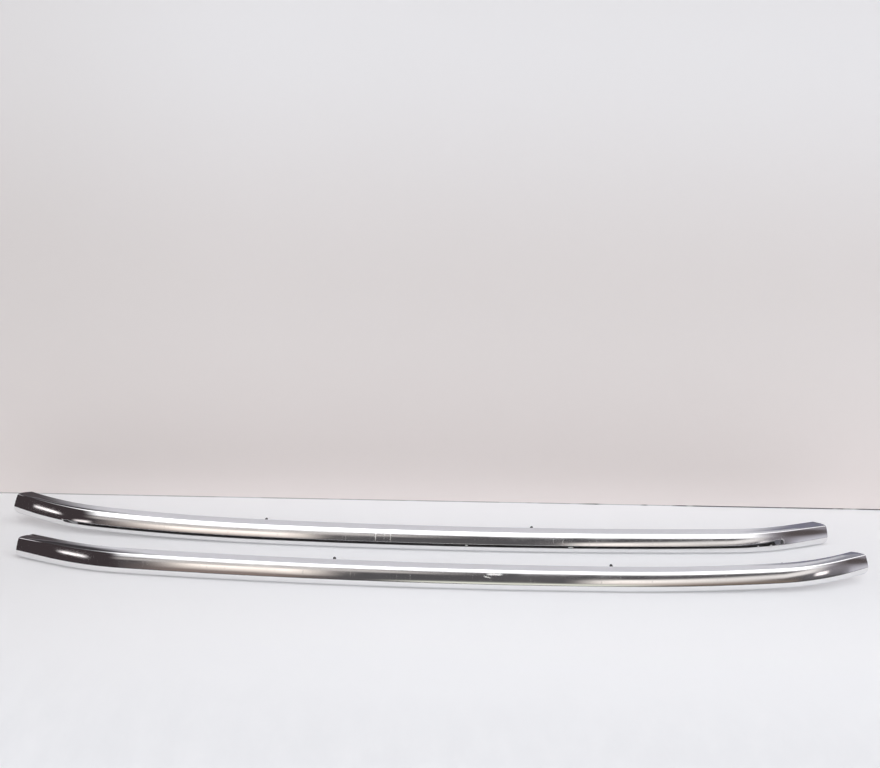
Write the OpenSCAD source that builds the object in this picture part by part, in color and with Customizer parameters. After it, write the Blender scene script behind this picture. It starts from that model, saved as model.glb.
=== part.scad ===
// Pair of roof rails for a car, one for each side of the roof.
// Each rail is a bright aluminium tube with a leaning crown and a flat underside, bent down at both ends
// and cut off at a slant there. Moulded plugs close its ends, a soft strip lies along its underside, and
// threaded studs stand out of its underside to go through the roof.
// The rails lie on their outer sides on a flat floor, with their crowns towards -Y and their studs
// towards +Y. They are mirror images, so the front ends point opposite ways: the right rail, nearer to
// -Y, has its front end at +X. All sizes are in millimetres.

/* [Rail line] */
// Radius of the long gentle arch seen from the side
arch_r = 8530; // [6500:10:14000]
// Length of the gentle arch on each side of the middle
arch_half = 633; // [500:1:720]
// Radius of the tighter bend towards each end
bend_r = 535; // [400:10:700]
// Slope of the rail at its ends, in degrees
end_slope = 18.7; // [14:0.1:24]
// Straight length at the rear end
rear_tip = 88; // [60:1:120]
// Straight length at the front end
front_tip = 52; // [48:1:90]
// Distance ahead of the middle where the rail starts to turn inwards
sweep_start = 320; // [200:5:500]
// Radius of that inward turn
sweep_r = 5900; // [4500:50:12000]
// Further inward turn along the front bend, in degrees
front_turn = 1.7; // [0:0.1:4]

/* [Tube section] */
// Width of the tube, from its outer side to its inner side
tube_w = 43; // [38:0.5:50]
// Height of the tube, from its underside to its crown
tube_h = 31.5; // [29:0.5:36]
// Wall of the tube
wall = 2.2; // [1.6:0.1:2.6]
// Radius of the shoulder on the outer side, where the crown stands highest
outer_shoulder_r = 11; // [9:0.5:13]
// Radius of the sharper shoulder on the inner side
inner_shoulder_r = 4.5; // [3:0.5:7]
// Radius of the gentle curve that the inner side has next to its shoulder
inner_side_r = 35; // [20:1:40]
// Angle that this gentle curve takes, in degrees
inner_side_turn = 18; // [10:1:20]
// Radius of the foot of the crown, next to the outer shoulder
foot_r = 38; // [28:1:45]
// Lean of that foot towards the inner side where it leaves the outer shoulder, in degrees
foot_lean = 11.3; // [8:0.1:14]
// Lean of the crown where it leaves its foot, in degrees
crown_lean = 21; // [18:1:24]
// Further lean that it gains on its way to the inner shoulder, in degrees
crown_turn = 5; // [3:1:9]
// Radius of the two edges of the underside
edge_r = 2.5; // [1:0.1:4]

/* [End cuts] */
// Slant of the end cuts, in degrees from square, with the crown as the longer side
cut_slant = 49; // [30:1:50]
// Tilt of the end cuts, in degrees from square, with the inner side as the longer side
cut_tilt = 24; // [0:1:26]

/* [End plugs] */
// Depth of the plug's face inside the cut
plug_recess = 0.8; // [0.2:0.1:3]
// Thickness of the plug's face, measured along the tube
plug_face = 2.5; // [2:0.1:5]
// Length of the plug's skirt behind its face
plug_skirt = 9; // [6:0.5:12]
// Wall of the plug's skirt and ribs
plug_wall = 1.8; // [1.2:0.1:2.4]
// Clearance between a plug and the tube
plug_gap = 0.2; // [0.15:0.05:0.4]

/* [Studs] */
// Distance from the rear end to the first stud
first_stud = 167; // [120:1:220]
// Distance from the middle back to the second stud
second_stud = 232; // [120:1:360]
// Distance from the middle forward to the third stud
third_stud = 308; // [120:1:400]
// Distance from the front end to the fourth stud
fourth_stud = 172; // [120:1:220]
// Thread diameter of a stud
stud_d = 6; // [5:0.5:7]
// Depth of the plain waist between the two threads of a stud
stud_waist = 0.35; // [0.2:0.05:0.6]
// Length of the second and the third stud beyond the underside
stud_out = 41; // [36:1:50]
// Length of the first and the fourth stud beyond the underside
end_stud_out = 31.5; // [25:0.5:36]
// Length of a stud inside the tube
stud_in = 13; // [8:0.5:16]
// Chamfer at both ends of a stud
stud_chamfer = 0.8; // [0.3:0.1:1.2]

/* [Insert nuts] */
// Barrel diameter of an insert nut
insert_d = 9; // [8.5:0.5:11]
// Length of an insert nut, from the underside inwards
insert_len = 14; // [11:0.5:18]
// Flange diameter of an insert nut
insert_flange_d = 13; // [12:0.5:16]
// Flange thickness of an insert nut
insert_flange = 1; // [0.6:0.1:1.5]
// Diameter of the bulge that grips the inside of the wall
insert_bulge_d = 12; // [11.5:0.1:13]
// Length of that bulge
insert_bulge = 3; // [2:0.1:4]
// Clearance round an insert nut's barrel, and round a stud in its nut and its seal
hole_gap = 0.05; // [0.03:0.01:0.1]

/* [Seals] */
// Outer diameter of the seal ring round each stud
ring_d = 18; // [17:0.5:22]
// Thickness of that seal ring
ring_t = 4; // [2.5:0.1:6]
// Width of the strip along the underside
strip_w = 33; // [28:0.5:33]
// Thickness of that strip
strip_t = 2; // [1:0.1:3]
// Distance from the end of the strip to the end cut
strip_inset = 6; // [3:0.5:15]
// Clearance between the strip and a seal ring
strip_gap = 0.8; // [0.3:0.1:2]
// Clearance between the underside and what is seated on it
seat_gap = 0.05; // [0.02:0.01:0.1]

/* [Pair] */
// Distance between the crowns of the two rails
pair_gap = 149; // [140:1:220]
// Distance that the left rail lies further towards -X than the right one
pair_shift = 68; // [0:1:120]

/* [Hidden] */

// Steps of the sweeps: ring spacing along the rail and points round its section
arch_step = 60;
bend_step = 12;
edge_steps = 2;
outer_shoulder_steps = 6;
foot_steps = 2;
crown_steps = 2;
inner_shoulder_steps = 3;
inner_side_steps = 3;
round_fn = 48;
cut_over = 1;
// Smallest radius of the tube's inner edges
inner_edge_r = 0.3;

degrees_per_radian = 180 / PI;
arch_angle = arch_half / arch_r * degrees_per_radian;
bend_len = bend_r * (end_slope - arch_angle) / degrees_per_radian;
rear_end = -(arch_half + bend_len + rear_tip);
front_end = arch_half + bend_len + front_tip;
cut_back = tube_h * tan(cut_slant) + tube_w * tan(cut_tilt);
stud_at = [rear_end + first_stud, -second_stud, third_stud, front_end - fourth_stud];
stud_outs = [end_stud_out, stud_out, stud_out, end_stud_out];

aluminium = [0.80, 0.80, 0.81];
plastic = [0.10, 0.10, 0.11];
rubber = [0.06, 0.06, 0.06];
zinc = [0.62, 0.62, 0.60];
dark_steel = [0.23, 0.22, 0.22];

// The line of the rail. A place on it is its distance from the middle, minus towards the rear.

// Slope of the line seen from the side, in degrees
function slope(s) =
    let (q = abs(s))
    sign(s) * (q < arch_half
        ? q / arch_r * degrees_per_radian
        : min(end_slope, arch_angle + (q - arch_half) / bend_r * degrees_per_radian));

// Distance past the end of a bend, along the straight tip
function past_bend(q) = max(0, q - arch_half - bend_len);

function line_x(q) =
    let (a = slope(q))
    q < arch_half
        ? arch_r * sin(a)
        : arch_r * sin(arch_angle)
            + bend_r * (sin(a) - sin(arch_angle))
            + past_bend(q) * cos(end_slope);

function line_y(q) =
    let (a = slope(q))
    q < arch_half
        ? arch_r * (1 - cos(a))
        : arch_r * (1 - cos(arch_angle))
            + bend_r * (cos(arch_angle) - cos(a))
            + past_bend(q) * sin(end_slope);

// Inward shift of the line, and its gradient
function line_z(s) =
    let (t = max(0, s - arch_half), turn = front_turn / degrees_per_radian)
    pow(max(0, s - sweep_start), 2) / (2 * sweep_r)
        + turn * (t < bend_len ? t * t / (2 * bend_len) : t - bend_len / 2);

function line_rise(s) =
    let (t = max(0, s - arch_half), turn = front_turn / degrees_per_radian)
    atan(max(0, s - sweep_start) / sweep_r + turn * min(1, t / bend_len));

function line_at(s) = [sign(s) * line_x(abs(s)), line_y(abs(s)), line_z(s)];

// A point given along, across and up from the line at s
function on_line(s, p) =
    let (a = slope(s), r = line_rise(s))
    line_at(s)
        + p[0] * [cos(a) * cos(r), sin(a) * cos(r), sin(r)]
        + p[1] * [-sin(a), cos(a), 0]
        + p[2] * [-cos(a) * sin(r), -sin(a) * sin(r), cos(r)];

// Places of the rings of a sweep between two ends, closer together in the bends
function even_places(from, to, step, first) =
    let (n = ceil((to - from) / step))
    [for (i = [first:n]) from + (to - from) * i / n];

inner_places = concat(
    even_places(-(arch_half + bend_len), -arch_half, bend_step, 0),
    even_places(-arch_half, arch_half, arch_step, 1),
    even_places(arch_half, arch_half + bend_len, bend_step, 1)
);

function places(from, to) = concat([from], [for (s = inner_places) if (s > from && s < to) s], [to]);

// The section, as points [y, z] with the crown at -y, the underside at +y, the outer side at -z and the
// inner side at +z. Five arcs that meet smoothly make the outer shoulder, the foot of the crown, the
// crown, the inner shoulder and the gentle curve of the inner side.

function arc(centre, r, from, to, steps, first = 0, last = 0) = [
    for (i = [first:steps - last])
        let (a = from + (to - from) * i / steps)
        centre + r * [cos(a), sin(a)]
];

outer_at = 180 - foot_lean;
crown_at = 180 - crown_lean;
inner_at = crown_at - crown_turn;
side_at = 90 + inner_side_turn;
crown_rise = tube_w
    - outer_shoulder_r * (1 + sin(outer_at))
    - foot_r * (sin(crown_at) - sin(outer_at))
    - inner_shoulder_r * (sin(side_at) - sin(inner_at))
    - inner_side_r * (1 - sin(side_at));
crown_r = crown_rise / (sin(inner_at) - sin(crown_at));
outer_centre = [outer_shoulder_r - tube_h / 2, outer_shoulder_r - tube_w / 2];
foot_centre = outer_centre - (foot_r - outer_shoulder_r) * [cos(outer_at), sin(outer_at)];
crown_centre = foot_centre - (crown_r - foot_r) * [cos(crown_at), sin(crown_at)];
inner_centre = crown_centre + (crown_r - inner_shoulder_r) * [cos(inner_at), sin(inner_at)];
side_centre = inner_centre - (inner_side_r - inner_shoulder_r) * [cos(side_at), sin(side_at)];

function section(inset) =
    let (
        r = max(edge_r - inset, inner_edge_r),
        ey = tube_h / 2 - inset - r,
        ez = tube_w / 2 - inset - r
    )
    concat(
        arc([ey, -ez], r, -90, 0, edge_steps),
        arc([ey, ez], r, 0, 90, edge_steps),
        arc(side_centre, inner_side_r - inset, 90, side_at, inner_side_steps),
        arc(inner_centre, inner_shoulder_r - inset, side_at, inner_at, inner_shoulder_steps, 1),
        arc(crown_centre, crown_r - inset, inner_at, crown_at, crown_steps, 1, 1),
        arc(foot_centre, foot_r - inset, crown_at, outer_at, foot_steps, 0, 1),
        arc(outer_centre, outer_shoulder_r - inset, outer_at, 270, outer_shoulder_steps)
    );

// Distance that the end cut takes off the length at a point of the section
function cut_at(p) = (p[0] + tube_h / 2) * tan(cut_slant) + (tube_w / 2 - p[1]) * tan(cut_tilt);

// One ring of the tube, with the two end rings lying in the slanted cuts
function ring(s, inset) = [
    for (p = section(inset))
        on_line(s, [s == rear_end ? cut_at(p) : s == front_end ? -cut_at(p) : 0, p[0], p[1]])
];

// Faces of one skin between rings of n points, as triangles, facing out or in
function skin(rings, n, start = 0, out = true) = [
    for (i = [0:rings - 2])
        for (j = [0:n - 1])
            let (
                a = start + i * n + j,
                b = start + i * n + (j + 1) % n,
                c = b + n,
                d = a + n
            )
            each out ? [[a, d, c], [a, c, b]] : [[a, c, d], [a, b, c]]
];

// Faces that join the outer and the inner ring at one end
function end_face(n, outer, inner, front) = [
    for (j = [0:n - 1])
        let (k = (j + 1) % n)
        each front
            ? [[outer + j, inner + k, outer + k], [outer + j, inner + j, inner + k]]
            : [[outer + j, outer + k, inner + k], [outer + j, inner + k, inner + j]]
];

// Corners of the whole tube, from which the pair is set on the origin
tube_places = places(rear_end, front_end);
tube_points = [for (s = tube_places) each ring(s, 0)];
rear_x = min([for (p = tube_points) p[0]]);
front_x = max([for (p = tube_points) p[0]]);
tip_y = max([for (i = [0:3]) on_line(stud_at[i], [stud_d / 2, tube_h / 2 + stud_outs[i], 0])[1]]);
back_y = max(concat([tip_y], [for (p = tube_points) p[1]]));

// Where the middle of each rail lies: the pair is centred on the origin and rests at z = 0
left_reach = max(front_x + pair_shift, -rear_x);
right_reach = max(front_x, -rear_x - pair_shift);
right_x = (left_reach - right_reach) / 2;
right_y = -(pair_gap + back_y - tube_h / 2) / 2;

module right_side() {
    translate([right_x, right_y, tube_w / 2])
        children();
}

module left_side() {
    translate([right_x - pair_shift, right_y + pair_gap, tube_w / 2])
        mirror([1, 0, 0])
            children();
}

// Stands its children on the rail line at s, with x along the rail and y through the underside
module at_place(s) {
    translate(line_at(s))
        rotate([0, -line_rise(s), slope(s)])
            children();
}

// Turns a shape that stands on z = 0 so that it stands on the underside, pointing out of it
module on_underside(s) {
    at_place(s)
        translate([0, tube_h / 2, 0])
            rotate([-90, 0, 0])
                children();
}

module tube() {
    n = len(section(0));
    rings = len(tube_places);
    color(aluminium)
        difference() {
            polyhedron(
                points = concat(tube_points, [for (s = tube_places) each ring(s, wall)]),
                faces = concat(
                    skin(rings, n),
                    skin(rings, n, rings * n, false),
                    end_face(n, 0, rings * n, false),
                    end_face(n, (rings - 1) * n, (2 * rings - 1) * n, true)
                )
            );
            for (s = stud_at)
                on_underside(s)
                    translate([0, 0, -wall - cut_over])
                        cylinder(d = insert_d + 2 * hole_gap, h = wall + 2 * cut_over, $fn = round_fn);
        }
}

// The soft strip along the underside, with a hole round each stud's seal ring
module roof_seal() {
    ends = places(rear_end + cut_back + strip_inset, front_end - cut_back - strip_inset);
    y0 = tube_h / 2 + seat_gap;
    y1 = y0 + strip_t;
    z = strip_w / 2;
    edge = strip_t / 2;
    profile = [[y0, -z], [y1 - edge, -z], [y1, -z + edge], [y1, z - edge], [y1 - edge, z], [y0, z]];
    n = len(profile);
    rings = len(ends);
    last = (rings - 1) * n;
    color(rubber)
        difference() {
            polyhedron(
                points = [for (s = ends) each [for (p = profile) on_line(s, [0, p[0], p[1]])]],
                faces = concat(
                    skin(rings, n),
                    [[for (j = [0:n - 1]) j]],
                    [[for (j = [n - 1:-1:0]) last + j]]
                )
            );
            for (s = stud_at)
                on_underside(s)
                    translate([0, 0, -cut_over])
                        cylinder(d = ring_d + 2 * strip_gap, h = strip_t + 2 * cut_over, $fn = round_fn);
        }
}

// The flat shape of the bore, drawn in the section's own axes
module bore_shape(inset) {
    polygon(section(wall + inset));
}

// Everything on one side of the plane of a front cut, which lies at the given depth behind the real cut
module beyond_cut(depth, out = true) {
    size = 3 * (tube_w + cut_back);
    translate([-depth, -tube_h / 2, tube_w / 2])
        rotate([0, atan(tan(cut_tilt) * cos(cut_slant)), cut_slant])
            translate([out ? 0 : -size, -size / 2, -size / 2])
                cube(size);
}

// A slab of the bore's shape along the tube, with both its ends parallel to the cut.
// It runs from the depth first to the depth last behind the cut.
module cut_slab(first, last, inset) {
    far = cut_back + last + cut_over;
    difference() {
        rotate([90, 0, 90])
            translate([0, 0, -far])
                linear_extrude(far)
                    bore_shape(inset);
        beyond_cut(first);
        beyond_cut(last, out = false);
    }
}

// A moulded plug for the front end: a face as the cut, with a skirt and two crossed ribs behind it
module plug() {
    behind = plug_recess + plug_face;
    depth = behind + plug_skirt;
    rib_len = 2 * depth + cut_back;
    color(plastic)
        difference() {
            cut_slab(plug_recess, depth, plug_gap);
            difference() {
                cut_slab(behind, depth + cut_over, plug_gap + plug_wall);
                translate([-rib_len, -plug_wall / 2, -tube_w])
                    cube([rib_len, plug_wall, 2 * tube_w]);
                translate([-rib_len, -tube_h, -plug_wall / 2])
                    cube([rib_len, 2 * tube_h, plug_wall]);
            }
        }
}

module front_plug() {
    at_place(front_end)
        plug();
}

module rear_plug() {
    at_place(rear_end)
        mirror([1, 0, 0])
            plug();
}

// A stud with a thread at each end and a plain waist between them, where its seal sits
module stud(number) {
    s = stud_at[number - 1];
    out = stud_outs[number - 1];
    r = stud_d / 2;
    waist = r - stud_waist;
    c = stud_chamfer;
    color(dark_steel)
        on_underside(s)
            rotate_extrude($fn = round_fn)
                polygon([
                    [0, -stud_in],
                    [r - c, -stud_in],
                    [r, c - stud_in],
                    [r, seat_gap + insert_flange],
                    [waist, seat_gap + insert_flange],
                    [waist, ring_t],
                    [r, ring_t],
                    [r, out - c],
                    [r - c, out],
                    [0, out]
                ]);
}

// An insert nut, set in the wall: flange outside, bulge and barrel inside
module insert_nut(s) {
    bore = stud_d / 2 + hole_gap;
    barrel = insert_d / 2;
    inside = -wall - seat_gap;
    color(zinc)
        on_underside(s)
            rotate_extrude($fn = round_fn)
                polygon([
                    [bore, -insert_len],
                    [barrel, -insert_len],
                    [barrel, inside - insert_bulge],
                    [insert_bulge_d / 2, inside - insert_bulge / 2],
                    [insert_bulge_d / 2, inside - insert_bulge / 4],
                    [barrel, inside],
                    [barrel, seat_gap],
                    [insert_flange_d / 2, seat_gap],
                    [insert_flange_d / 2, seat_gap + insert_flange],
                    [bore, seat_gap + insert_flange]
                ]);
}

// A soft ring round a stud, seated on the underside and over the flange of the insert nut
module stud_seal(s) {
    bore = stud_d / 2 - stud_waist + hole_gap;
    over = seat_gap + insert_flange + seat_gap;
    relief = insert_flange_d / 2 + hole_gap;
    outer = ring_d / 2;
    lip = ring_t / 4;
    color(rubber)
        on_underside(s)
            rotate_extrude($fn = round_fn)
                polygon([
                    [bore, over],
                    [relief, over],
                    [relief, seat_gap],
                    [outer, seat_gap],
                    [outer, ring_t - lip],
                    [outer - lip, ring_t],
                    [bore, ring_t]
                ]);
}

right_side() tube();  // right_rail
right_side() front_plug();  // right_front_plug
right_side() rear_plug();  // right_rear_plug
right_side() roof_seal();  // right_roof_seal
right_side() stud(1);  // right_stud_1
right_side() stud(2);  // right_stud_2
right_side() stud(3);  // right_stud_3
right_side() stud(4);  // right_stud_4
right_side() insert_nut(stud_at[0]);  // right_insert_nut_1
right_side() insert_nut(stud_at[1]);  // right_insert_nut_2
right_side() insert_nut(stud_at[2]);  // right_insert_nut_3
right_side() insert_nut(stud_at[3]);  // right_insert_nut_4
right_side() stud_seal(stud_at[0]);  // right_stud_seal_1
right_side() stud_seal(stud_at[1]);  // right_stud_seal_2
right_side() stud_seal(stud_at[2]);  // right_stud_seal_3
right_side() stud_seal(stud_at[3]);  // right_stud_seal_4
left_side() tube();  // left_rail
left_side() front_plug();  // left_front_plug
left_side() rear_plug();  // left_rear_plug
left_side() roof_seal();  // left_roof_seal
left_side() stud(1);  // left_stud_1
left_side() stud(2);  // left_stud_2
left_side() stud(3);  // left_stud_3
left_side() stud(4);  // left_stud_4
left_side() insert_nut(stud_at[0]);  // left_insert_nut_1
left_side() insert_nut(stud_at[1]);  // left_insert_nut_2
left_side() insert_nut(stud_at[2]);  // left_insert_nut_3
left_side() insert_nut(stud_at[3]);  // left_insert_nut_4
left_side() stud_seal(stud_at[0]);  // left_stud_seal_1
left_side() stud_seal(stud_at[1]);  // left_stud_seal_2
left_side() stud_seal(stud_at[2]);  // left_stud_seal_3
left_side() stud_seal(stud_at[3]);  // left_stud_seal_4
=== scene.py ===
# Pair of polished roof rails lying on a white floor in front of a pale wall.
from contextlib import contextmanager
from math import atan, atan2, ceil, cos, hypot, pi, radians, sin, tan

import bpy
from mathutils import Matrix, Vector


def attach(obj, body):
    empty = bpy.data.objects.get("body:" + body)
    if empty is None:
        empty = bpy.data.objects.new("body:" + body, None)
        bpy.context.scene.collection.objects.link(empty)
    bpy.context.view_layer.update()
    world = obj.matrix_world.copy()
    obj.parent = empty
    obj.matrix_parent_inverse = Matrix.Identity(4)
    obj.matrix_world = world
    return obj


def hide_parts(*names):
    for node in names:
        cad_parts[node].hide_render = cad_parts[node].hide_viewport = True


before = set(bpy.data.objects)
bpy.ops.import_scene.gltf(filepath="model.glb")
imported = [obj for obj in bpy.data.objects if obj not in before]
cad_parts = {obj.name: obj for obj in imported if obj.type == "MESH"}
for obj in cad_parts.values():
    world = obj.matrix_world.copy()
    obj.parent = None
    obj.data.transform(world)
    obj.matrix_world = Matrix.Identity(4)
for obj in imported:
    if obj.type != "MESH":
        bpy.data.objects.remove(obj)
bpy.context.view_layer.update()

# Sizes of the rails, as in the CAD, in metres and radians
ARCH_R = 8.530
ARCH_HALF = 0.633
BEND_R = 0.535
END_SLOPE = radians(18.7)
REAR_TIP = 0.088
FRONT_TIP = 0.052
SWEEP_START = 0.320
SWEEP_R = 5.900
FRONT_TURN = radians(1.7)
TUBE_W = 0.043
TUBE_H = 0.0315
WALL = 0.0022
OUTER_SHOULDER_R = 0.011
FOOT_R = 0.038
INNER_SHOULDER_R = 0.0045
INNER_SIDE_R = 0.035
INNER_SIDE_TURN = 18
FOOT_LEAN = 11.3
CROWN_LEAN = 21
CROWN_TURN = 5
EDGE_R = 0.0025
CUT_SLANT = radians(49)
CUT_TILT = radians(24)
PLUG_RECESS = 0.0008
PLUG_FACE = 0.0025
PLUG_SKIRT = 0.009
PLUG_WALL = 0.0018
PLUG_GAP = 0.0002
STUD_R = 0.003
STUD_WAIST = 0.00035
STUD_IN = 0.013
STUD_OUT = 0.041
END_STUD_OUT = 0.0315
STUD_CHAMFER = 0.0008
THREAD_PITCH = 0.001
THREAD_DEPTH = 0.0006
NUT_R = 0.0045
NUT_LEN = 0.014
NUT_FLANGE_R = 0.0065
NUT_FLANGE = 0.001
NUT_BULGE_R = 0.006
NUT_BULGE = 0.003
HOLE_GAP = 0.00005
RING_R = 0.009
RING_T = 0.004
STRIP_W = 0.033
STRIP_T = 0.002
STRIP_INSET = 0.006
STRIP_GAP = 0.0008
SEAT_GAP = 0.00005
# The finished skin lies this far inside the CAD's
SKIN = 0.00005
# Finest details: roundings, chamfers and the least radius of an inner corner
CUT_ROUND = 0.0002
PLUG_ROUND = 0.0003
FINE_CHAMFER = 0.0003
NUT_LEAD_IN = 0.0004
LEAST_R = 0.0003
# Steps between the rings of a rail in its bends and in its long arch, and the least gap between two
BEND_STEP = 0.006
ARCH_STEP = 0.021
RING_GAP = 0.001
# A bar or a cutter reaches this far past the place where it ends in the finished piece
OVERSHOOT = 0.001

ARCH_ANGLE = ARCH_HALF / ARCH_R
BEND_LEN = BEND_R * (END_SLOPE - ARCH_ANGLE)
REAR_END = -(ARCH_HALF + BEND_LEN + REAR_TIP)
FRONT_END = ARCH_HALF + BEND_LEN + FRONT_TIP
CUT_BACK = TUBE_H * tan(CUT_SLANT) + TUBE_W * tan(CUT_TILT)
STUDS = (REAR_END + 0.167, -0.232, 0.308, FRONT_END - 0.172)

MIRRORED = Matrix.Scale(-1, 4, (1, 0, 0))
RIGHT = Matrix.Translation((0.034, -0.107327, TUBE_W / 2))
LEFT = Matrix.Translation((-0.034, 0.041673, TUBE_W / 2)) @ MIRRORED
SIDES = {"right": RIGHT, "left": LEFT}


# The line of the rail: a place on it is its distance from the middle, minus towards the rear. Its slope is
# the turn of the arch and the bends, and its rise is the slow turn off the floor at the front.
def slope(s):
    q = abs(s)
    a = q / ARCH_R if q < ARCH_HALF else min(END_SLOPE, ARCH_ANGLE + (q - ARCH_HALF) / BEND_R)
    return a if s > 0 else -a


def line_at(s):
    q = abs(s)
    a = abs(slope(s))
    past = max(0, q - ARCH_HALF - BEND_LEN)
    if q < ARCH_HALF:
        x = ARCH_R * sin(a)
        y = ARCH_R * (1 - cos(a))
    else:
        x = ARCH_R * sin(ARCH_ANGLE) + BEND_R * (sin(a) - sin(ARCH_ANGLE)) + past * cos(END_SLOPE)
        y = ARCH_R * (1 - cos(ARCH_ANGLE)) + BEND_R * (cos(ARCH_ANGLE) - cos(a)) + past * sin(END_SLOPE)
    t = max(0, s - ARCH_HALF)
    z = max(0, s - SWEEP_START) ** 2 / (2 * SWEEP_R)
    z += FRONT_TURN * (t * t / (2 * BEND_LEN) if t < BEND_LEN else t - BEND_LEN / 2)
    return Vector((x if s > 0 else -x, y, z))


def line_rise(s):
    t = max(0, s - ARCH_HALF)
    return atan(max(0, s - SWEEP_START) / SWEEP_R + FRONT_TURN * min(1, t / BEND_LEN))


# Stands a shape on the rail line at s, with x along the rail and y through the underside
def at_place(s):
    turn = Matrix.Rotation(slope(s), 4, "Z") @ Matrix.Rotation(-line_rise(s), 4, "Y")
    return Matrix.Translation(line_at(s)) @ turn


# Turns a shape that stands on z = 0 so that it stands on the underside, pointing out of it
def on_underside(s):
    return at_place(s) @ Matrix.Translation((0, TUBE_H / 2, 0)) @ Matrix.Rotation(-pi / 2, 4, "X")


# The section, as points (y, z) with the crown at -y and the outer side at -z
def arc(centre, r, first, last, steps, skip_first=0, skip_last=0):
    points = []
    for i in range(skip_first, steps + 1 - skip_last):
        a = radians(first + (last - first) * i / steps)
        points.append((centre[0] + r * cos(a), centre[1] + r * sin(a)))
    return points


def section(inset):
    outer_at = 180 - FOOT_LEAN
    crown_at = 180 - CROWN_LEAN
    inner_at = crown_at - CROWN_TURN
    side_at = 90 + INNER_SIDE_TURN
    out_outer, out_crown, out_inner, out_side = (
        Vector((cos(radians(a)), sin(radians(a)))) for a in (outer_at, crown_at, inner_at, side_at)
    )
    crown_rise = (
        TUBE_W
        - OUTER_SHOULDER_R * (1 + out_outer.y)
        - FOOT_R * (out_crown.y - out_outer.y)
        - INNER_SHOULDER_R * (out_side.y - out_inner.y)
        - INNER_SIDE_R * (1 - out_side.y)
    )
    crown_r = crown_rise / (out_inner.y - out_crown.y)
    outer = Vector((OUTER_SHOULDER_R - TUBE_H / 2, OUTER_SHOULDER_R - TUBE_W / 2))
    foot = outer - (FOOT_R - OUTER_SHOULDER_R) * out_outer
    crown = foot - (crown_r - FOOT_R) * out_crown
    inner = crown + (crown_r - INNER_SHOULDER_R) * out_inner
    side = inner - (INNER_SIDE_R - INNER_SHOULDER_R) * out_side
    r = max(EDGE_R - inset, LEAST_R)
    ey = TUBE_H / 2 - inset - r
    ez = TUBE_W / 2 - inset - r
    return (
        arc((ey, -ez), r, -90, 0, 8)
        + arc((ey, ez), r, 0, 90, 8)
        + arc(side, INNER_SIDE_R - inset, 90, side_at, 10)
        + arc(inner, INNER_SHOULDER_R - inset, side_at, inner_at, 16, 1)
        + arc(crown, crown_r - inset, inner_at, crown_at, 8, 1, 1)
        + arc(foot, FOOT_R - inset, crown_at, outer_at, 8, 0, 1)
        + arc(outer, OUTER_SHOULDER_R - inset, outer_at, 270, 42)
    )


# Places spread evenly from the first to the last, no more than a step apart
def even(first, last, step):
    n = ceil((last - first) / step)
    return [first + (last - first) * i / n for i in range(n + 1)]


# Places of the rings along a rail, closer together in the bends than in the arch
bend_out = ARCH_HALF + BEND_LEN
stations = even(-bend_out, -ARCH_HALF, BEND_STEP) + even(-ARCH_HALF, ARCH_HALF, ARCH_STEP)[1:]
stations += even(ARCH_HALF, bend_out, BEND_STEP)[1:]


# Both ends of a stretch of the rail, with the rings between them
def within(first, last):
    return [first] + [s for s in stations if first + RING_GAP < s < last - RING_GAP] + [last]


# Modelling helpers: every operator acts on what is selected, so a piece starts with nothing selected
def nothing_selected():
    if bpy.context.object and bpy.context.object.mode != "OBJECT":
        bpy.ops.object.mode_set(mode="OBJECT")
    bpy.ops.object.select_all(action="DESELECT")


def take(obj):
    nothing_selected()
    obj.select_set(True)
    bpy.context.view_layer.objects.active = obj
    return obj


# Opens a piece in edit mode with all of it selected, and closes it again
@contextmanager
def edited(obj):
    take(obj)
    bpy.ops.object.mode_set(mode="EDIT")
    bpy.ops.mesh.select_all(action="SELECT")
    yield
    bpy.ops.mesh.select_all(action="DESELECT")
    bpy.ops.object.mode_set(mode="OBJECT")


# Names the piece that an operator has just added
def started(name):
    obj = bpy.context.object
    obj.name = name
    obj.data.name = name
    return obj


def finish_modifiers(obj):
    take(obj)
    for m in list(obj.modifiers):
        bpy.ops.object.modifier_apply(modifier=m.name)


# Moves a piece within its mesh, and keeps its faces right side out where the move mirrors it
def placed(obj, matrix):
    obj.data.transform(matrix)
    if matrix.determinant() < 0:
        obj.data.flip_normals()
    obj.data.update()
    return obj


def copied(obj, name, matrix):
    other = obj.copy()
    other.data = obj.data.copy()
    other.name = name
    other.data.name = name
    bpy.context.collection.objects.link(other)
    return placed(other, matrix)


def smooth(obj, angle):
    take(obj)
    bpy.ops.object.shade_smooth_by_angle(angle=radians(angle))
    return obj


# A straight bar of a section's shape, open at its ends and drawn out along x from ring to ring
def drawn_out(points, places, name):
    nothing_selected()
    bpy.ops.mesh.primitive_circle_add(vertices=len(points), radius=TUBE_W / 2, fill_type="NOTHING")
    obj = started(name)
    for v, p in zip(obj.data.vertices, points):
        v.co = (places[0], p[0], p[1])
    with edited(obj):
        for a, b in zip(places, places[1:]):
            bpy.ops.mesh.extrude_region_move(TRANSFORM_OT_translate={"value": (b - a, 0, 0)})
    return obj


# Cuts a straight piece at the slant and the tilt of the rail's ends. The front end has the way 1 and the
# rear end -1, and the cut takes off what lies beyond it, or else what lies behind it.
def cut_slanted(obj, end, way=1, beyond=True):
    with edited(obj):
        bpy.ops.mesh.bisect(
            plane_co=(end, -TUBE_H / 2, TUBE_W / 2),
            plane_no=Vector((way, tan(CUT_SLANT), -tan(CUT_TILT))).normalized(),
            clear_outer=beyond,
            clear_inner=not beyond,
        )
    return obj


# Rounds the sharp edges of a piece
def edges_rounded(obj, width):
    m = obj.modifiers.new("rounding", "BEVEL")
    m.width = width
    m.segments = 2
    m.limit_method = "ANGLE"
    m.angle_limit = radians(30)
    finish_modifiers(obj)
    return obj


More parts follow.
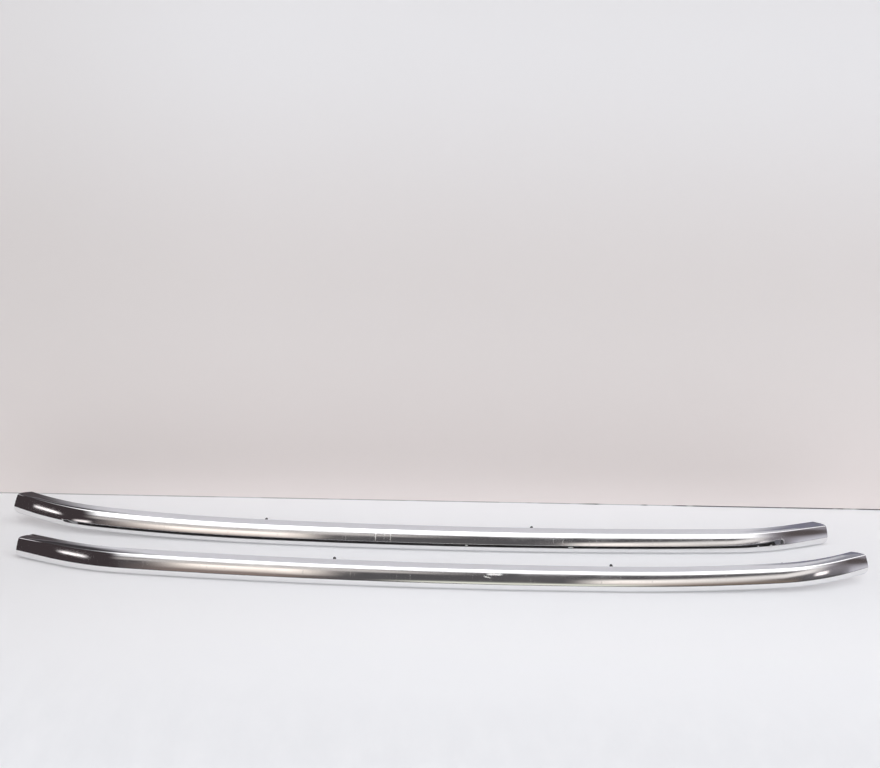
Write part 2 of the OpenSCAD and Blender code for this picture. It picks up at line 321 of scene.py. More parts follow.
# Cuts a shape out of a piece, and the shape is used up
def cut_out(obj, cutter):
    m = obj.modifiers.new("cut", "BOOLEAN")
    m.operation = "DIFFERENCE"
    m.solver = "EXACT"
    m.object = cutter
    finish_modifiers(obj)
    bpy.data.objects.remove(cutter)
    return obj


# Drills round holes through the underside of a straight piece, one at each stud
def drilled(obj, radius, top, bottom):
    nothing_selected()
    drills = []
    for s in STUDS:
        bpy.ops.mesh.primitive_cylinder_add(
            vertices=64,
            radius=radius,
            depth=bottom - top,
            location=(s, (top + bottom) / 2, 0),
            rotation=(pi / 2, 0, 0),
        )
        drills.append(bpy.context.object)
    for drill in drills:
        drill.select_set(True)
    bpy.ops.object.join()
    return cut_out(obj, started("drills"))


# Bends a straight piece along the line of the rail. Its straight places stay in the attribute "place",
# as the distance along the rail, the depth and the height, for patterns that follow the rail.
def bend_along_line(obj):
    straight = obj.data.attributes.new("place", "FLOAT_VECTOR", "POINT")
    for v, place in zip(obj.data.vertices, straight.data):
        place.vector = v.co
        s, p, q = v.co
        a = slope(s)
        r = line_rise(s)
        across = Vector((-sin(a), cos(a), 0))
        up = Vector((-cos(a) * sin(r), -sin(a) * sin(r), cos(r)))
        v.co = line_at(s) + p * across + q * up
    obj.data.update()
    return obj


# A turned piece: its outline (radius, height) is spun about z
def turned(outline, name, steps):
    nothing_selected()
    bpy.ops.mesh.primitive_circle_add(vertices=len(outline), radius=0.005, fill_type="NOTHING")
    obj = started(name)
    for v, p in zip(obj.data.vertices, outline):
        v.co = (p[0], 0, p[1])
    with edited(obj):
        bpy.ops.mesh.spin(steps=steps, angle=2 * pi, center=(0, 0, 0), axis=(0, 0, 1))
        bpy.ops.mesh.select_all(action="SELECT")
        bpy.ops.mesh.remove_doubles(threshold=0.000001)
        bpy.ops.mesh.delete_loose(use_verts=True, use_edges=True, use_faces=False)
        bpy.ops.mesh.select_all(action="SELECT")
        bpy.ops.mesh.normals_make_consistent(inside=False)
    return obj


# Closes the open ends of a piece
def closed(obj):
    with edited(obj):
        bpy.ops.mesh.fill_holes(sides=0)
        bpy.ops.mesh.select_all(action="SELECT")
        bpy.ops.mesh.normals_make_consistent(inside=False)
    return obj


# The aluminium rail: a bar with slanted ends, bored from end to end and drilled for the insert nuts.
# Its rings stand between the two slanted cuts, so that no cut runs through one.
def rail():
    rear_cut = REAR_END + CUT_BACK + 2 * RING_GAP
    front_cut = FRONT_END - CUT_BACK - 2 * RING_GAP
    between_cuts = [s for s in stations if rear_cut < s < front_cut]
    places = [REAR_END - OVERSHOOT] + between_cuts + [FRONT_END + OVERSHOOT]
    obj = drawn_out(section(SKIN), places, "rail")
    cut_slanted(cut_slanted(obj, FRONT_END), REAR_END, -1)
    cut_out(closed(obj), closed(drawn_out(section(WALL), places, "bore")))
    edges_rounded(obj, CUT_ROUND)
    return drilled(obj, NUT_R + HOLE_GAP, TUBE_H / 2 - 2 * WALL, TUBE_H / 2 + WALL)


# The soft strip along the underside, with rounded edges and a hole round each stud
def roof_seal():
    y = TUBE_H / 2 + SEAT_GAP
    z = STRIP_W / 2
    edge = STRIP_T / 2
    points = [(y, z)] + arc((y + edge, z - edge), edge, 90, 0, 6)
    points += arc((y + edge, edge - z), edge, 0, -90, 6) + [(y, -z)]
    ends = within(REAR_END + CUT_BACK + STRIP_INSET, FRONT_END - CUT_BACK - STRIP_INSET)
    strip = closed(drawn_out(points, ends, "seal"))
    return drilled(strip, RING_R + STRIP_GAP, TUBE_H / 2 - STRIP_T, TUBE_H / 2 + 2 * STRIP_T)


# A slab of the bore's shape at a front end, with both its ends parallel to the cut
def slab(first, last, inset, name):
    places = [-CUT_BACK - last - OVERSHOOT, -0.5 * CUT_BACK, OVERSHOOT]
    obj = drawn_out(section(WALL + PLUG_GAP + inset), places, name)
    cut_slanted(obj, -first)
    return closed(cut_slanted(obj, -last, beyond=False))


# A rib of the plug, as a flat bar across the bore
def rib(deep, high):
    nothing_selected()
    long = 2 * (PLUG_RECESS + PLUG_FACE + PLUG_SKIRT) + CUT_BACK
    bpy.ops.mesh.primitive_cube_add(size=1, location=(-long / 2, 0, 0), scale=(long, deep, high))
    return started("rib")


# A moulded plug for a front end: a face as the cut, with a skirt and two crossed ribs behind it
def plug():
    behind = PLUG_RECESS + PLUG_FACE
    depth = behind + PLUG_SKIRT
    obj = edges_rounded(slab(PLUG_RECESS, depth, 0, "plug"), PLUG_ROUND)
    hollow = slab(behind, depth + OVERSHOOT, PLUG_WALL, "hollow")
    hollow = cut_out(hollow, rib(PLUG_WALL, 2 * TUBE_W))
    hollow = cut_out(hollow, rib(2 * TUBE_H, PLUG_WALL))
    return cut_out(obj, hollow)


# A stud: a thread at each end and a plain waist between them. The thread is pressed into the turned bar,
# with five rows of points to a turn, and its groove has a flat crest and a flat root.
def stud(out, name):
    neck = SEAT_GAP + NUT_FLANGE
    row = THREAD_PITCH / 5
    threaded_from = STUD_R - 0.00001
    outline = [(0, -STUD_IN), (STUD_R - STUD_CHAMFER, -STUD_IN)]
    outline += [(STUD_R, z) for z in even(STUD_CHAMFER - STUD_IN, neck, row)]
    outline += [(STUD_R - STUD_WAIST, neck), (STUD_R - STUD_WAIST, RING_T)]
    outline += [(STUD_R, z) for z in even(RING_T, out - STUD_CHAMFER, row)]
    outline += [(STUD_R - STUD_CHAMFER, out), (0, out)]
    obj = turned(outline, name, 36)
    for v in obj.data.vertices:
        if hypot(v.co.x, v.co.y) > threaded_from:
            turn = atan2(v.co.y, v.co.x) / (2 * pi)
            groove = abs(((v.co.z / THREAD_PITCH - turn) % 1) * 2 - 1)
            keep = 1 - THREAD_DEPTH * max(0, min(1, 1.2 * groove - 0.1)) / STUD_R
            v.co.x *= keep
            v.co.y *= keep
    return smooth(obj, 30)


# An insert nut: flange outside the wall, rolled bulge and barrel inside it
def insert_nut():
    bore = STUD_R + HOLE_GAP
    inside = -WALL - SEAT_GAP
    top = SEAT_GAP + NUT_FLANGE
    bulge = NUT_BULGE_R - NUT_R
    outline = [(bore, NUT_LEAD_IN - NUT_LEN), (bore + NUT_LEAD_IN, -NUT_LEN)]
    outline += [(NUT_R - FINE_CHAMFER, -NUT_LEN), (NUT_R, FINE_CHAMFER - NUT_LEN)]
    steps = 12
    for i in range(steps + 1):
        a = pi * i / steps
        outline.append((NUT_R + bulge * sin(a), inside - NUT_BULGE / 2 - NUT_BULGE / 2 * cos(a)))
    outline += [(NUT_R, SEAT_GAP), (NUT_FLANGE_R, SEAT_GAP), (NUT_FLANGE_R, top - FINE_CHAMFER)]
    outline += [(NUT_FLANGE_R - FINE_CHAMFER, top), (bore, top)]
    return smooth(turned(outline, "insert_nut", 48), 35)


# A soft ring round a stud, over the flange of its insert nut
def stud_seal():
    bore = STUD_R - STUD_WAIST + HOLE_GAP
    over = SEAT_GAP + NUT_FLANGE + SEAT_GAP
    relief = NUT_FLANGE_R + HOLE_GAP
    lip = RING_T / 4
    outline = [(bore, over), (relief, over), (relief, SEAT_GAP), (RING_R - FINE_CHAMFER, SEAT_GAP)]
    outline += [(RING_R, SEAT_GAP + FINE_CHAMFER)]
    outline += arc((RING_R - lip, RING_T - lip), lip, 0, 90, 6)
    outline += [(bore + FINE_CHAMFER, RING_T), (bore, RING_T - FINE_CHAMFER)]
    return smooth(turned(outline, "stud_seal", 64), 35)


# Every piece is modelled once, and each side gets its own copy
front_plug = plug()
rear_plug = copied(front_plug, "rear_plug", Matrix.Translation((REAR_END, 0, 0)) @ MIRRORED)
placed(front_plug, Matrix.Translation((FRONT_END, 0, 0)))
straight = {"rail": rail(), "roof_seal": roof_seal(), "front_plug": front_plug, "rear_plug": rear_plug}
models = {kind: smooth(bend_along_line(obj), 30) for kind, obj in straight.items()}
long_stud = stud(STUD_OUT, "long_stud")
end_stud = stud(END_STUD_OUT, "end_stud")
fittings = {"insert_nut": insert_nut(), "stud_seal": stud_seal()}
for number, s in enumerate(STUDS, 1):
    stand = on_underside(s)
    models[f"stud_{number}"] = copied(end_stud if number in (1, 4) else long_stud, f"stud_{number}", stand)
    for kind, obj in fittings.items():
        models[f"{kind}_{number}"] = copied(obj, f"{kind}_{number}", stand)
for obj in (long_stud, end_stud, *fittings.values()):
    bpy.data.objects.remove(obj)


# What a piece is, without the number of its stud
def kind_of(name):
    return name.rstrip("_1234")


pieces = {}
for side, where in SIDES.items():
    for kind, model in models.items():
        node = f"{side}_{kind}"
        obj = copied(model, f"{node}_finished", where)
        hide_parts(node)
        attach(obj, "root")
        pieces[node] = obj
for model in models.values():
    bpy.data.objects.remove(model)

# The camera, where the photograph was taken from: its turns, its place and its lens in millimetres
YAW, PITCH, ROLL = radians(2.418), radians(22.633), radians(2.847)
CAMERA_AT = (-0.11749, -2.5947, 1.45506)
LENS = 61.43
SENSOR_W = 36


def photo_camera():
    ahead = Vector((sin(YAW) * cos(PITCH), cos(YAW) * cos(PITCH), -sin(PITCH)))
    level = Vector((cos(YAW), -sin(YAW), 0))
    above = level.cross(ahead)
    right = cos(ROLL) * level + sin(ROLL) * above
    up = -sin(ROLL) * level + cos(ROLL) * above
    camera = bpy.data.objects.new("camera", bpy.data.cameras.new("camera"))
    camera.matrix_world = Matrix((right, up, -ahead)).transposed().to_4x4()
    camera.location = CAMERA_AT
    camera.data.lens = LENS
    camera.data.sensor_width = SENSOR_W
    bpy.context.collection.objects.link(camera)
    return camera


bpy.context.scene.camera = photo_camera()


# Node helpers for the materials and the room. A new node, with its properties set:
def added(tree, kind, **values):
    node = tree.nodes.new("ShaderNode" + kind)
    for name, value in values.items():
        setattr(node, name, value)
    return node


# Gives a socket its value, which is a constant or comes from another node
def fed(tree, socket, value):
    if isinstance(value, bpy.types.NodeSocket):
        tree.links.new(value, socket)
    else:
        socket.default_value = value


def reckoned(tree, operation, *values):
    node = added(tree, "Math", operation=operation)
    for socket, value in zip(node.inputs, values):
        fed(tree, socket, value)
    return node.outputs[0]


# A value with a share of another on top
def topped(tree, value, other, share):
    return reckoned(tree, "ADD", value, reckoned(tree, "MULTIPLY", other, share))


# Sockets 0, 6 and 7 of a Mix node are its factor and its two colours
def mixed(tree, factor, a, b):
    node = added(tree, "Mix", data_type="RGBA")
    for socket, value in zip((node.inputs[0], node.inputs[6], node.inputs[7]), (factor, a, b)):
        fed(tree, socket, value)
    return node.outputs[2]


# A smooth step, as the value goes from low to high
def ranged(tree, value, low, high, to_low=0.0, to_high=1.0):
    node = added(tree, "MapRange", interpolation_type="SMOOTHSTEP")
    for socket, v in zip(node.inputs, (value, low, high, to_low, to_high)):
        fed(tree, socket, v)
    return node.outputs[0]


# Noise, with 0.5 in its middle
def grained(tree, vector, scale, detail=3.0, roughness=0.5):
    node = added(tree, "TexNoise")
    fed(tree, node.inputs["Vector"], vector)
    fed(tree, node.inputs["Scale"], scale)
    fed(tree, node.inputs["Detail"], detail)
    fed(tree, node.inputs["Roughness"], roughness)
    return node.outputs["Fac"]


# A place scaled and moved, so that the pattern on it stretches where the scale is small
def stretched(tree, vector, scale, move=(0, 0, 0)):
    node = added(tree, "Mapping")
    fed(tree, node.inputs["Vector"], vector)
    fed(tree, node.inputs["Scale"], scale)
    fed(tree, node.inputs["Location"], move)
    return node.outputs[0]


def parts_of(tree, vector):
    node = added(tree, "SeparateXYZ")
    fed(tree, node.inputs[0], vector)
    return node.outputs


def flat_place(tree, across, up):
    node = added(tree, "CombineXYZ")
    fed(tree, node.inputs[0], across)
    fed(tree, node.inputs[1], up)
    return node.outputs[0]


def object_place(tree):
    return added(tree, "TexCoord").outputs["Object"]


# 1 on the front of a face and 0 on its back
def on_front(tree):
    return reckoned(tree, "SUBTRACT", 1.0, added(tree, "NewGeometry").outputs["Backfacing"])


# A new node group, with the sockets of its start and its end
def group(name, ins, outs):
    tree = bpy.data.node_groups.new(name, "ShaderNodeTree")
    for way, sockets in (("INPUT", ins), ("OUTPUT", outs)):
        for label, kind in sockets:
            tree.interface.new_socket(label, in_out=way, socket_type="NodeSocket" + kind)
    start = tree.nodes.new("NodeGroupInput")
    end = tree.nodes.new("NodeGroupOutput")
    return tree, start.outputs, end.inputs


# The outputs of a node group. An underscore in a value's name is a space in its input's.
def used(tree, node_group, **values):
    node = tree.nodes.new("ShaderNodeGroup")
    node.node_tree = node_group
    for name, value in values.items():
        fed(tree, node.inputs[name.replace("_", " ")], value)
    return node.outputs


# A soft spot: 1 inside a nearly square patch of a flat pair of coordinates, fading to 0 round it
def soft_spot():
    tree, ins, outs = group(
        "soft_spot",
        [
            ("place", "Vector"),
            ("centre", "Vector"),
            ("half size", "Vector"),
            ("lean", "Float"),
            ("softness", "Float"),
        ],
        [("mask", "Float")],
    )
    from_centre = added(tree, "VectorMath", operation="SUBTRACT")
    fed(tree, from_centre.inputs[0], ins["place"])
    fed(tree, from_centre.inputs[1], ins["centre"])
    flat = parts_of(tree, from_centre.outputs[0])
    half = parts_of(tree, ins["half size"])
    upright = reckoned(tree, "SUBTRACT", flat[1], reckoned(tree, "MULTIPLY", flat[0], ins["lean"]))
    ways = reckoned(tree, "DIVIDE", flat[0], half[0]), reckoned(tree, "DIVIDE", upright, half[1])
    powers = [reckoned(tree, "POWER", reckoned(tree, "ABSOLUTE", way), 4.0) for way in ways]
    reach = reckoned(tree, "POWER", reckoned(tree, "ADD", *powers), 0.25)
    inner_edge = reckoned(tree, "SUBTRACT", 1.0, ins["softness"])
    outer_edge = reckoned(tree, "ADD", 1.0, ins["softness"])
    fed(tree, outs["mask"], ranged(tree, reach, inner_edge, outer_edge, 1.0, 0.0))
    return tree


# Fine wear: hairline scratches along and across a surface, and a cloudy haze
def fine_wear():
    tree, ins, outs = group(
        "fine_wear",
        [("place", "Vector"), ("size", "Float")],
        [("along", "Float"), ("across", "Float"), ("haze", "Float")],
    )
    scaled = added(tree, "VectorMath", operation="SCALE")
    fed(tree, scaled.inputs[0], ins["place"])
    fed(tree, scaled.inputs["Scale"], ins["size"])
    place = scaled.outputs[0]
    fed(tree, outs["along"], grained(tree, stretched(tree, place, (0.02, 1.0, 1.0)), 2.0, 4.0, 0.7))
    hairs = grained(tree, stretched(tree, place, (1.0, 0.06, 0.05), (3.1, 0.4, 7.3)), 0.6, 2.0, 0.6)
    fed(tree, outs["across"], ranged(tree, hairs, 0.64, 0.74))
    haze = grained(tree, stretched(tree, place, (0.1, 0.5, 0.5), (1.7, 5.2, 0.3)), 0.12, 3.0, 0.6)
    fed(tree, outs["haze"], haze)
    return tree


# Dust that settles where a surface faces up
def settled_dust():
    tree, ins, outs = group("settled_dust", [("place", "Vector"), ("size", "Float")], [("mask", "Float")])
    facing = parts_of(tree, added(tree, "NewGeometry").outputs["Normal"])
    upward = ranged(tree, facing[2], 0.3, 0.95)
    specks = ranged(tree, grained(tree, ins["place"], ins["size"], 5.0, 0.75), 0.55, 0.75)
    fed(tree, outs["mask"], reckoned(tree, "MULTIPLY", upward, specks))
    return tree


spot = soft_spot()
wear = fine_wear()
dust = settled_dust()


# The mask of a soft spot with this centre, half sizes, lean and softness
def in_spot(tree, place, centre, half_size, lean, softness):
    return used(
        tree,
        spot,
        place=place,
        centre=(*centre, 0),
        half_size=(*half_size, 1),
        lean=lean,
        softness=softness,
    )["mask"]


def material(name):
    m = bpy.data.materials.new(name)
    m.use_nodes = True
    return m, m.node_tree, m.node_tree.nodes["Principled BSDF"].inputs


def dressed(obj, m):
    obj.data.materials.clear()
    obj.data.materials.append(m)


def bumped(tree, height, strength, distance):
    node = added(tree, "Bump")
    fed(tree, node.inputs["Height"], height)
    fed(tree, node.inputs["Strength"], strength)
    fed(tree, node.inputs["Distance"], distance)
    return node.outputs[0]


# Polished aluminium, with its hairlines, haze and dust and the scuffs of its own side. Its flat underside
# is rougher and painted darker, a painted shade, and it has painted shade where it turns away from the
# view.
# A scuff is its place along the rail and its height, its half sizes, its lean and how strong it is.
def polished_aluminium(side, scuffs):
    m, tree, shader = material(f"polished_aluminium_{side}")
    along_rail = added(tree, "Attribute", attribute_name="place").outputs["Vector"]
    marks = used(tree, wear, place=along_rail, size=900.0)
    lint = used(tree, dust, place=along_rail, size=1500.0)["mask"]
    sides = parts_of(tree, along_rail)
    spread = flat_place(tree, sides[0], sides[2])
    scuffed = 0.0
    for s, high, half_long, half_high, leaning, strength in scuffs:
        mask = in_spot(tree, spread, (s, high), (half_long, half_high), leaning, 0.5)
        scuffed = reckoned(tree, "MAXIMUM", scuffed, reckoned(tree, "MULTIPLY", mask, strength))
    tone = mixed(tree, marks["haze"], (0.90, 0.895, 0.895, 1), (0.84, 0.835, 0.84, 1))
    # Painted shade: the tone darkens where the surface turns away from the view, drawing dark lines along
    # the outlines
    edge = added(tree, "LayerWeight")
    fed(tree, edge.inputs["Blend"], 0.5)
    rim = ranged(tree, edge.outputs["Facing"], 0.66, 0.86, 0.0, 0.55)
    tone = mixed(tree, rim, tone, (0.40, 0.39, 0.42, 1))
    # Painted shade: the flat underside is painted darker, and it is also made rougher
    shaded_underside = ranged(tree, sides[1], TUBE_H / 2 - 0.0009, TUBE_H / 2 - 0.0004)
    tone = mixed(tree, shaded_underside, tone, (0.42, 0.42, 0.43, 1))
    tone = mixed(tree, reckoned(tree, "MULTIPLY", lint, 0.06), tone, (0.55, 0.53, 0.50, 1))
    fed(tree, shader["Base Color"], mixed(tree, scuffed, tone, (0.95, 0.94, 0.92, 1)))
    fed(tree, shader["Metallic"], 1.0)
    rough = ranged(tree, marks["haze"], 0.35, 0.7, 0.045, 0.085)
    for mark, share in ((marks["across"], 0.08), (lint, 0.10), (shaded_underside, 0.35), (scuffed, 0.4)):
        rough = topped(tree, rough, mark, share)
    fed(tree, shader["Roughness"], rough)
    height = topped(tree, marks["along"], scuffed, -4.0)
    fed(tree, shader["Normal"], bumped(tree, height, 0.25, 0.00002))
    return m


# Black plastic with a fine moulded grain, greyer in its haze and under dust
def plug_plastic():
    m, tree, shader = material("grained_black_plastic")
    place = object_place(tree)
    marks = used(tree, wear, place=place, size=700.0)
    lint = used(tree, dust, place=place, size=1200.0)["mask"]
    tone = mixed(tree, marks["haze"], (0.012, 0.012, 0.013, 1), (0.022, 0.022, 0.023, 1))
    dusty = reckoned(tree, "MULTIPLY", lint, 0.3)
    fed(tree, shader["Base Color"], mixed(tree, dusty, tone, (0.2, 0.19, 0.18, 1)))
    fed(tree, shader["Roughness"], ranged(tree, marks["across"], 0.0, 1.0, 0.45, 0.62))
    fed(tree, shader["Normal"], bumped(tree, grained(tree, place, 2500.0, 4.0, 0.6), 0.35, 0.0001))
    return m


# Matt black rubber, rougher and dustier than the plastic
def seal_rubber():
    m, tree, shader = material("matt_seal_rubber")
    place = object_place(tree)
    marks = used(tree, wear, place=place, size=500.0)
    lint = used(tree, dust, place=place, size=900.0)["mask"]
    tone = mixed(tree, marks["haze"], (0.010, 0.010, 0.010, 1), (0.020, 0.019, 0.018, 1))
    dusty = reckoned(tree, "MULTIPLY", lint, 0.5)
    fed(tree, shader["Base Color"], mixed(tree, dusty, tone, (0.16, 0.15, 0.14, 1)))
    fed(tree, shader["Roughness"], ranged(tree, marks["haze"], 0.3, 0.7, 0.68, 0.85))
    fed(tree, shader["Normal"], bumped(tree, grained(tree, place, 1800.0, 3.0, 0.5), 0.3, 0.0001))
    return m


# Plated steel: the tone in its hollows and on its worn places, and how rough it is
def plated_steel(name, tone, worn, roughness):
    m, tree, shader = material(name)
    place = object_place(tree)
    marks = used(tree, wear, place=place, size=1500.0)
    patches = ranged(tree, grained(tree, place, 400.0, 4.0, 0.6), 0.45, 0.65)
    fed(tree, shader["Base Color"], mixed(tree, patches, tone, worn))
    fed(tree, shader["Metallic"], 1.0)
    rough = ranged(tree, marks["haze"], 0.3, 0.7, roughness - 0.06, roughness + 0.08)
    fed(tree, shader["Roughness"], topped(tree, rough, marks["across"], 0.1))
    fed(tree, shader["Normal"], bumped(tree, marks["along"], 0.2, 0.00003))
    return m


RIGHT_SCUFFS = (
    (0.0600, 0.0072, 0.0060, 0.0012, -0.22, 0.5),
    (0.0740, 0.0122, 0.0130, 0.0016, 0.0, 0.6),
    (-0.1980, 0.0060, 0.0006, 0.0070, 0.0, 0.12),
    (-0.0850, 0.0040, 0.0005, 0.0060, 0.0, 0.22),
)
LEFT_SCUFFS = (
    (0.0850, 0.0050, 0.0013, 0.0100, 0.0, 0.32),
    (0.0555, 0.0050, 0.0010, 0.0100, 0.0, 0.27),
    (-0.0956, -0.0056, 0.0025, 0.0010, 0.0, 0.9),
    (-0.3035, -0.0060, 0.0050, 0.0010, 0.0, 0.9),
    (-0.6849, -0.0048, 0.0020, 0.0012, 0.0, 0.8),
    (-0.7124, -0.0047, 0.0020, 0.0012, 0.0, 0.8),
)
plastic = plug_plastic()
rubber = seal_rubber()
FINISHES = {
    "right_rail": polished_aluminium("right", RIGHT_SCUFFS),
    "left_rail": polished_aluminium("left", LEFT_SCUFFS),
    "roof_seal": rubber,
    "stud_seal": rubber,
    "front_plug": plastic,
    "rear_plug": plastic,
    "stud": plated_steel("blackened_stud_steel", (0.07, 0.068, 0.07, 1), (0.16, 0.155, 0.155, 1), 0.38),
    "insert_nut": plated_steel("zinc_plated_steel", (0.55, 0.55, 0.53, 1), (0.68, 0.67, 0.62, 1), 0.32),
}
for node, obj in pieces.items():
    kind = kind_of(node.split("_", 1)[1])
    dressed(obj, FINISHES[node] if node in FINISHES else FINISHES[kind])

# Floor, wall and a dark strip at the joint between them, a painted shade of the gap there. The wall stands
# a little out of square with the rails.
STAGE_W = 8
FLOOR_FRONT = -0.90
FLOOR_DEPTH = 2
WALL_H = 1.12
WALL_AT = Matrix.Translation((0, 0.245, 0)) @ Matrix.Rotation(radians(1.39), 4, "Z")
JOINT_H = 0.0024
JOINT_AHEAD = 0.0005
STAND_UP = Matrix.Rotation(pi / 2, 4, "X")
# A small card between the rails, near the left rail's front end. Its far face glows in the middle.
CARD_W = 0.07
CARD_H = 0.022
CARD_AT = Matrix.Translation((-0.745, -0.05, 0.0535)) @ Matrix.Rotation(pi, 4, "Z")
CARD_GLOW = (0.022, 0.006)
# How pale the floor and the wall look on top of the light that falls on them
FLOOR_LIFT = 0.13
WALL_LIFT_LOW = 0.16
WALL_LIFT_HIGH = 0.27


# A flat sheet of the stage, which is not part of the object
def backdrop(name, width, height, place):
    nothing_selected()
    bpy.ops.mesh.primitive_plane_add(size=1)
    obj = started(name)
    placed(obj, place @ Matrix.Diagonal((width, height, 1, 1)))
    return obj


# Lifts a backdrop's tone for the camera and in reflections, with no more light on the rails
def pale_to_view(tree, shader, tone, lift):
    path = added(tree, "LightPath").outputs
    seen = reckoned(tree, "MAXIMUM", path["Is Camera Ray"], path["Is Glossy Ray"])
    fed(tree, shader["Emission Color"], tone)
    fed(tree, shader["Emission Strength"], reckoned(tree, "MULTIPLY", seen, lift))


# The card's light, which only reflections see
def card_light():
    m = bpy.data.materials.new("card_light")
    m.use_nodes = True
    tree = m.node_tree
    tree.nodes.remove(tree.nodes["Principled BSDF"])
    glow = added(tree, "Emission")
    fed(tree, glow.inputs["Color"], (1.0, 0.93, 0.92, 1))
    fed(tree, glow.inputs["Strength"], 1.2)
    place = parts_of(tree, object_place(tree))
    middle = CARD_AT.translation
    mask = in_spot(tree, flat_place(tree, place[0], place[2]), (middle.x, middle.z), CARD_GLOW, 0.0, 0.6)
    shown = reckoned(tree, "MULTIPLY", on_front(tree), added(tree, "LightPath").outputs["Is Glossy Ray"])
    either = added(tree, "MixShader")
    fed(tree, either.inputs[0], reckoned(tree, "MULTIPLY", shown, mask))
    fed(tree, either.inputs[1], added(tree, "BsdfTransparent").outputs[0])
    fed(tree, either.inputs[2], glow.outputs[0])
    fed(tree, tree.nodes["Material Output"].inputs["Surface"], either.outputs[0])
    return m


# The floor, with painted shade: a little greyer on the left, towards the front and behind the wall
def white_floor():
    m, tree, shader = material("white_floor")
    place = object_place(tree)
    x, y = parts_of(tree, place)[:2]
    tone = mixed(tree, ranged(tree, x, -1.1, 0.1), (0.83, 0.83, 0.84, 1), (0.90, 0.91, 0.93, 1))
    tone = mixed(tree, ranged(tree, y, -0.2, -0.7), tone, (0.73, 0.74, 0.76, 1))
    tone = mixed(tree, ranged(tree, y, 0.25, 0.3), tone, (0.60, 0.61, 0.62, 1))
    cloud = grained(tree, stretched(tree, place, (1.0, 0.4, 1.0)), 22.0, 4.0, 0.6)
    tone = mixed(tree, ranged(tree, cloud, 0.3, 0.8, 0.0, 0.25), tone, (0.86, 0.865, 0.88, 1))
    fed(tree, shader["Base Color"], tone)
    fed(tree, shader["Roughness"], ranged(tree, cloud, 0.3, 0.7, 0.55, 0.7))
    pale_to_view(tree, shader, tone, FLOOR_LIFT)
    return m


# The wall, with painted shade and light: darker and warmer low down, paler high up and darker on the left.
# Only reflections see it bluer, with darker far ends, a painted reflection of the room. It is seen from in
# front only, so that a view from behind shows the rails.
def pale_wall():
    m, tree, shader = material("pale_wall")
    x, y, z = parts_of(tree, object_place(tree))
    tone = mixed(tree, ranged(tree, z, 0.0, 0.45), (0.865, 0.805, 0.79, 1), (0.91, 0.87, 0.86, 1))
    tone = mixed(tree, ranged(tree, z, 0.45, 1.0), tone, (0.98, 0.98, 1.0, 1))
    tone = mixed(tree, ranged(tree, x, -1.0, -0.3, 0.35, 0.0), tone, (0.72, 0.68, 0.66, 1))
    reflected = added(tree, "LightPath").outputs["Is Glossy Ray"]
    tone = mixed(tree, reckoned(tree, "MULTIPLY", reflected, 0.8), tone, (0.86, 0.87, 0.92, 1))
    high_up = ranged(tree, z, 0.22, 0.32)
    low_down = ranged(tree, z, 0.32, 0.24)
    # Painted reflection: darker patches at the wall's far ends that only reflections see
    for first, last, zone, dark in (
        (-0.62, -0.77, high_up, (0.045, 0.040, 0.045, 1)),
        (-0.66, -0.82, low_down, (0.09, 0.075, 0.08, 1)),
        (0.66, 0.80, low_down, (0.24, 0.24, 0.30, 1)),
        (0.83, 0.94, high_up, (0.36, 0.36, 0.41, 1)),
    ):
        end = reckoned(tree, "MULTIPLY", ranged(tree, x, first, last), zone)
        tone = mixed(tree, reckoned(tree, "MULTIPLY", end, reflected), tone, dark)
    fed(tree, shader["Base Color"], tone)
    fed(tree, shader["Roughness"], 0.9)
    fed(tree, shader["Alpha"], on_front(tree))
    pale_to_view(tree, shader, tone, ranged(tree, z, 0.4, 1.05, WALL_LIFT_LOW, WALL_LIFT_HIGH))
    return m


# The joint's strip, a painted shade of the gap between floor and wall, broken here and there, and darker on
# the right
def joint_gap_shade():
    m, tree, shader = material("joint_gap_shade")
    place = object_place(tree)
    broken = ranged(tree, grained(tree, place, 14.0, 2.0, 0.5), 0.40, 0.5)
    on_right = ranged(tree, parts_of(tree, place)[0], 0.3, 0.36)
    tone = mixed(tree, on_right, (0.62, 0.6, 0.59, 1), (0.16, 0.15, 0.15, 1))
    fed(tree, shader["Base Color"], mixed(tree, broken, (0.75, 0.74, 0.74, 1), tone))
    fed(tree, shader["Roughness"], 0.9)
    fed(tree, shader["Alpha"], on_front(tree))
    return m


floor_at = Matrix.Translation((0, FLOOR_FRONT + FLOOR_DEPTH / 2, 0))
wall_at = WALL_AT @ Matrix.Translation((0, 0, WALL_H / 2)) @ STAND_UP
joint_at = WALL_AT @ Matrix.Translation((0, -JOINT_AHEAD, JOINT_H / 2)) @ STAND_UP
dressed(backdrop("floor", STAGE_W, FLOOR_DEPTH, floor_at), white_floor())
dressed(backdrop("wall", STAGE_W, WALL_H, wall_at), pale_wall())
dressed(backdrop("joint", STAGE_W, JOINT_H, joint_at), joint_gap_shade())
dressed(backdrop("card", CARD_W, CARD_H, CARD_AT @ STAND_UP), card_light())

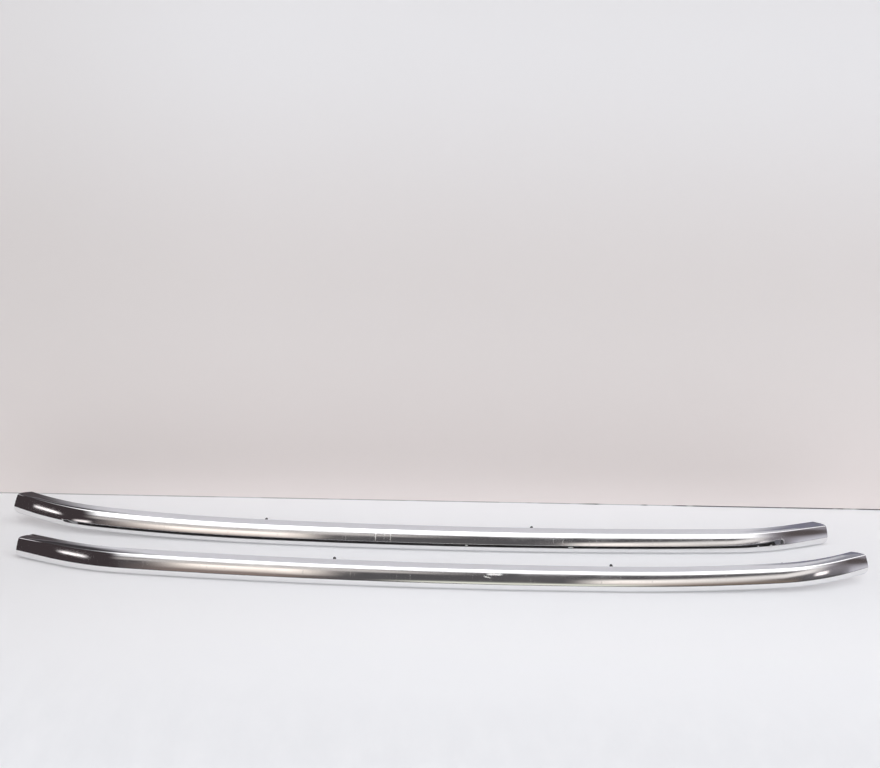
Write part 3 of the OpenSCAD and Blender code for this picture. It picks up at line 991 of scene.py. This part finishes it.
# The room: a bright ceiling above a dark lower half, with darker and brighter things standing in it.
# Each has the side (-1 to 1) and the height in degrees where it stands, its half sizes, its lean, its
# softness and its colour. A camera ray sees a plain pale background instead.
CEILING = (1.86, 1.86, 1.88, 1)
CEILING_FROM = (20.2, 21.4)
DARK_ROOM = (0.098, 0.094, 0.098, 1)
PALE = (0.80, 0.80, 0.81, 1)
IN_THE_ROOM = (
    ("ceiling beam", 0.0, 97, 1.2, 9, 0, 0.3, (0.50, 0.50, 0.53, 1)),
    ("dark left side", -0.77, 35, 0.48, 80, 0, 0.17, (0.050, 0.040, 0.043, 1)),
    ("grey pillar", 0.85, 41, 0.35, 28, 0, 0.35, (0.30, 0.28, 0.31, 1)),
    ("left lamp glow", -0.170, 16.2, 0.072, 3.2, 0, 0.5, (1.7, 1.55, 1.42, 1)),
    ("ceiling's left rim", -0.14, 19.0, 0.17, 1.1, 0, 0.45, (0.62, 0.58, 0.56, 1)),
    ("left haze", -0.19, 7, 0.080, 8, 0, 0.6, (0.26, 0.205, 0.185, 1)),
    ("right lamp glow", 0.265, 14.2, 0.070, 2.2, 6, 0.35, (1.2, 1.12, 1.06, 1)),
    ("right lamp's foot", 0.28, 10.6, 0.06, 2.6, 0, 0.5, (0.66, 0.57, 0.52, 1)),
    ("right rim", 0.43, 17.4, 0.14, 1.9, 14, 0.5, (0.92, 0.88, 0.86, 1)),
    ("low daylight", 0.125, 6.2, 0.13, 5.0, 0, 0.35, (0.82, 0.82, 0.72, 1)),
    ("far doorway", 0.36, 5.0, 0.09, 8, 0, 0.5, (0.21, 0.17, 0.145, 1)),
    ("left streak", -0.598, 18.3, 0.075, 1.1, -10, 0.4, (1.9, 1.8, 1.8, 1)),
    ("left ceiling gap", -0.80, 75, 0.09, 12, 0, 0.3, (1.4, 1.35, 1.4, 1)),
    ("right streak", 0.580, 15.0, 0.035, 1.5, 8, 0.4, (1.6, 1.5, 1.5, 1)),
    ("right tip shade", 0.82, 24, 0.16, 5, 0, 0.5, (0.10, 0.085, 0.085, 1)),
    ("low right light", 0.88, 5, 0.14, 11, 0, 0.4, (0.58, 0.57, 0.63, 1)),
    ("dark skirting", 0.1, -1.2, 1.0, 2.6, 0, 0.15, (0.06, 0.055, 0.055, 1)),
)


# The light of the room, as a world
def room():
    world = bpy.data.worlds.new("room")
    world.use_nodes = True
    tree = world.node_tree
    towards = parts_of(tree, added(tree, "TexCoord").outputs["Generated"])
    to_the_front = reckoned(tree, "MULTIPLY", towards[1], -1.0)
    height = reckoned(tree, "DEGREES", reckoned(tree, "ARCTAN2", towards[2], to_the_front))
    place = flat_place(tree, towards[0], height)
    colour = mixed(tree, ranged(tree, height, *CEILING_FROM), DARK_ROOM, CEILING)
    for name, side, high, half_wide, half_high, leaning, softness, tone in IN_THE_ROOM:
        mask = in_spot(tree, place, (side, high), (half_wide, half_high), leaning, softness)
        colour = mixed(tree, mask, colour, tone)
    camera_ray = added(tree, "LightPath").outputs["Is Camera Ray"]
    fed(tree, tree.nodes["Background"].inputs["Color"], mixed(tree, camera_ray, colour, PALE))
    return world


bpy.context.scene.world = room()
bpy.context.scene.view_settings.view_transform = "Standard"
